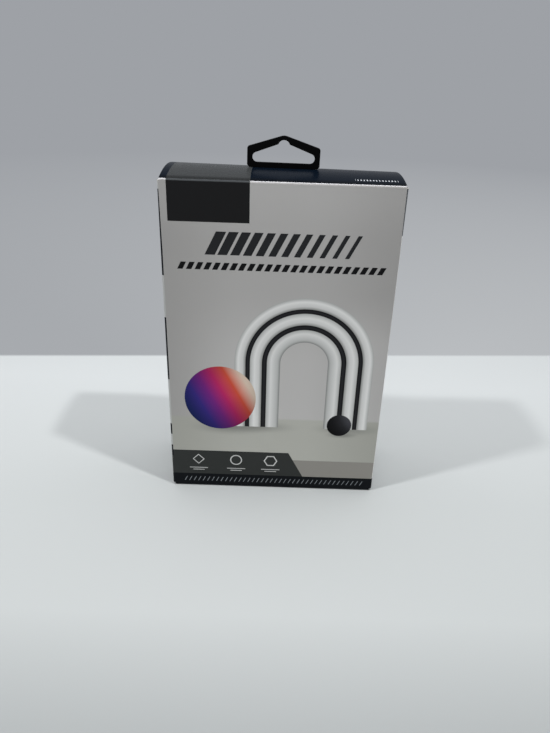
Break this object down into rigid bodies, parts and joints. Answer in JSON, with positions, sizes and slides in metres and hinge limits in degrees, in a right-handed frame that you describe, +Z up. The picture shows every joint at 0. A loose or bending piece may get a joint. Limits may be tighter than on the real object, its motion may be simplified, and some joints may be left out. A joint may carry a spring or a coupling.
{
  "type": "hang tab carton",
  "caption": "Upright paperboard retail carton with a bowed tuck-in lid hinged on the front top fold and a black plastic hang tab with a peg slot.",
  "frame": {"origin": "centre of the base, on the surface that the carton stands on", "axes": "+Z up, the printed front faces -Y, +X to the right seen from the front"},
  "size_m": [0.12, 0.05, 0.1981],
  "materials": {
    "printed_board": "semi-gloss printed board, grey front with dark fields",
    "lid_board": "semi-gloss dark navy printed board",
    "black_plastic": "black moulded plastic"
  },
  "bodies": {
    "carton": {"carton": "printed_board"},
    "lid": {"lid": "lid_board", "hang_tab": "black_plastic"}
  },
  "joints": [
    {"name": "lid_hinge", "type": "hinge", "parent": "carton", "child": "lid", "pos_m": [0, -0.025, 0.179], "axis": [1, 0, 0], "range_deg": [0, 180]}
  ]
}
